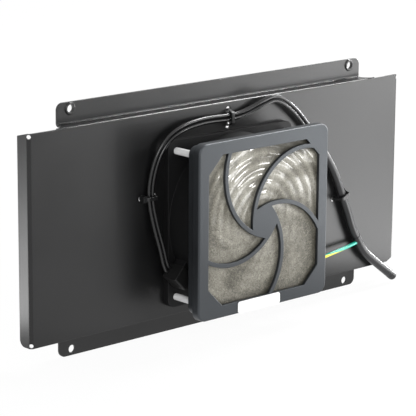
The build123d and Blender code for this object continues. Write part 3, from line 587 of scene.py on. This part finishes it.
# Leads from the fan plug, the sleeve round them and the supply cord
lead_points = to_points(LEAD_ROUTE)
for name, offset in (("outer_lead", LEAD_PITCH / 2), ("inner_lead", -LEAD_PITCH / 2)):
    lead = cord_curve(name + "_line", beside(lead_points, offset), LEAD)
    settle(lead, "lead_black", "tray", name)
sleeve = cord_curve("lead_sleeve_line", to_points(SLEEVE_ROUTE), SLEEVE)
settle(sleeve, "sleeve_black", "tray", "lead_sleeve")
cord_points = to_points(CORD_ROUTE)
supply = cord_curve("supply_cord_line", cord_points, SUPPLY_CORD)
settle(supply, "cord_black", "tray", "supply_cord")

# Earth wire
earth_line = cord_curve("earth_line", to_points(EARTH_ROUTE), LEAD)
earth_wire = tube_mesh("earth_wire_tube", centreline(earth_line), LEAD)
bpy.data.objects.remove(earth_line)
settle(earth_wire, "earth_green", "tray", "earth_wire")


def pad_surface(name):
    """Filter pad: a closed crowned mat whose front swells between the rings of the grille under it."""
    vertices = []
    swirl = []
    rings = []
    faces = []
    for layer in (0, 1):
        for i in range(PAD_STEPS + 1):
            for j in range(PAD_STEPS + 1):
                x = PAD_HALF * (2.0 * i / PAD_STEPS - 1.0)
                z = PAD_HALF * (2.0 * j / PAD_STEPS - 1.0)
                reach = abs(x) + abs(z)
                if reach > PAD_CORNER:
                    x *= PAD_CORNER / reach
                    z *= PAD_CORNER / reach
                radius = math.hypot(x, z)
                turn = math.atan2(z, x)
                swirl.append((turn * SWIRL_TURN + radius * SWIRL_LEAN, radius * SWIRL_REACH))
                cut_edge = (PAD_CORNER - abs(x) - abs(z)) * DIAGONAL
                edge = min(PAD_HALF - abs(x), PAD_HALF - abs(z), cut_edge)
                crown = math.sqrt(max(0.0, 1.0 - (1.0 - min(edge / PAD_ROUND, 1.0)) ** 2))
                swell = 0.5 - 0.5 * math.cos(2.0 * math.pi * radius / RING_PITCH)
                pressed = min(max((z - PRESS_START) / PRESS_RISE, PRESS_LEAST), 1.0)
                rings.append((swell * pressed, radius))
                front = PAD_FRONT - PAD_INSET + RING_SWELL * (swell - 0.5) * pressed
                crowned = PAD_BACK + PAD_RIM + (front - PAD_BACK - PAD_RIM) * crown
                vertices.append((x, -PAD_BACK if layer else -crowned, z + FAN_Z))
    row = PAD_STEPS + 1
    sheet = row * row
    for i in range(PAD_STEPS):
        for j in range(PAD_STEPS):
            corner = i * row + j
            faces.append((corner, corner + row, corner + row + 1, corner + 1))
            faces.append(tuple(sheet + k for k in (corner, corner + 1, corner + row + 1, corner + row)))
    rim = [i * row for i in range(PAD_STEPS)]
    rim += [PAD_STEPS * row + j for j in range(PAD_STEPS)]
    rim += [(PAD_STEPS - i) * row + PAD_STEPS for i in range(PAD_STEPS)]
    rim += [PAD_STEPS - j for j in range(PAD_STEPS)]
    for first, second in zip(rim, rim[1:] + rim[:1]):
        faces.append((second, first, sheet + first, sheet + second))
    mesh = bpy.data.meshes.new(name)
    mesh.from_pydata(vertices, [], faces)
    for key, values in (("swirl", swirl), ("rings", rings)):
        layer = mesh.uv_layers.new(name=key)
        for loop in mesh.loops:
            layer.data[loop.index].uv = values[loop.vertex_index]
    mesh.shade_smooth()
    return add_object(name, mesh)


pad = pad_surface("filter_mat")
settle(pad, "filter_mesh", "filter_cover", "filter_pad")


# Floor, world and soft lights
def pale_stage(tree):
    """One for the camera, for reflections and for what shows through, else nothing."""
    path = add_node(tree, "ShaderNodeLightPath").outputs
    seen = math_node(tree, "MAXIMUM", path["Is Camera Ray"], path["Is Glossy Ray"])
    return math_node(tree, "MAXIMUM", seen, path["Is Transmission Ray"])


floor_mesh = bpy.data.meshes.new("floor")
floor_mesh.from_pydata(
    [(FLOOR_REACH * x, FLOOR_REACH * y, FLOOR_Z) for x, y in ((-1, -1), (1, -1), (1, 1), (-1, 1))],
    [],
    [(0, 1, 2, 3)],
)
floor = add_object("floor", floor_mesh)
floor_material = bpy.data.materials.new("floor")
floor_material.use_nodes = True
floor_tree = floor_material.node_tree
floor_tree.nodes.clear()
lit = add_node(floor_tree, "ShaderNodeBsdfDiffuse", {"Color": (0.85, 0.85, 0.85, 1.0)})
plain = add_node(floor_tree, "ShaderNodeEmission", {"Color": (1.0, 1.0, 1.0, 1.0), "Strength": 1.0})
white_share = times(floor_tree, pale_stage(floor_tree), FLOOR_WHITE)
floor_mix = add_node(
    floor_tree, "ShaderNodeMixShader", {0: white_share, 1: lit.outputs[0], 2: plain.outputs[0]}
)
add_node(floor_tree, "ShaderNodeOutputMaterial", {"Surface": floor_mix.outputs[0]})
floor_mesh.materials.append(floor_material)

world = bpy.data.worlds.new("studio")
scene.world = world
world.use_nodes = True
world_tree = world.node_tree
background = world_tree.nodes["Background"]
background.inputs["Color"].default_value = (1.0, 1.0, 1.0, 1.0)
world_glow = spread(world_tree, pale_stage(world_tree), WORLD_LIGHT, 1.0, 0.0, 1.0)
world_tree.links.new(world_glow, background.inputs["Strength"])

for name, place, aim, width, height, power, roll in LAMPS:
    lamp_data = bpy.data.lights.new(name, "AREA")
    lamp_data.shape = "RECTANGLE"
    lamp_data.size = width
    lamp_data.size_y = height
    lamp_data.energy = power
    lamp = add_object(name, lamp_data)
    lamp.location = place
    facing = (Vector(aim) - Vector(place)).to_track_quat("-Z", "Y")
    lamp.rotation_euler = (facing @ Quaternion((0.0, 0.0, 1.0), math.radians(roll))).to_euler()

scene.view_settings.view_transform = "Standard"
